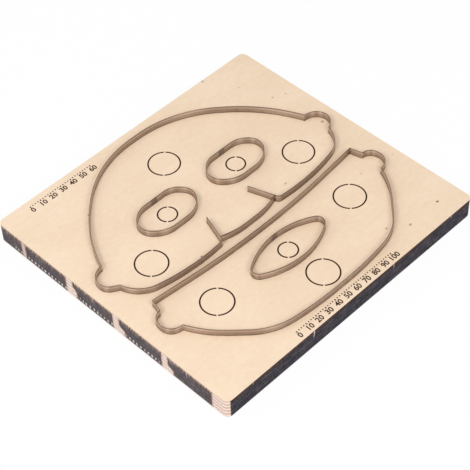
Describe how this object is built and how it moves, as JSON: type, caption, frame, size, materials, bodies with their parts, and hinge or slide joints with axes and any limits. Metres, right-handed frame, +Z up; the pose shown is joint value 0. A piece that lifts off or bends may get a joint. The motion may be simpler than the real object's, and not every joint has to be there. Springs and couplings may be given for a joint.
{
  "type": "steel rule die",
  "caption": "Flat steel rule cutting die: bent steel rules stand in a plywood board and cut an upper and a lower face mask piece with eye and mouth openings.",
  "frame": {"origin": "centre of the board's underside, midway between its four sides", "axes": "+X to the right and +Y to the back along the board's sides, with the upper mask piece at the back; +Z up, out of the cutting side"},
  "size_m": [0.262, 0.242, 0.0238],
  "materials": {
    "plywood": "smooth bare birch plywood with laser-burnt edges",
    "rule_steel": "dull grey-brown rule with a brighter ground edge"
  },
  "bodies": {
    "root": {"plywood_board": "plywood", "arch_rule": "rule_steel", "upper_lug_rule_left": "rule_steel", "upper_lug_rule_right": "rule_steel", "cheek_rule_left": "rule_steel", "cheek_rule_right": "rule_steel", "nose_rule": "rule_steel", "eye_rule_left": "rule_steel", "eye_rule_right": "rule_steel", "lower_top_rule": "rule_steel", "lower_lug_rule_left": "rule_steel", "lower_lug_rule_right": "rule_steel", "chin_rule": "rule_steel", "mouth_rule": "rule_steel"}
  },
  "joints": []
}
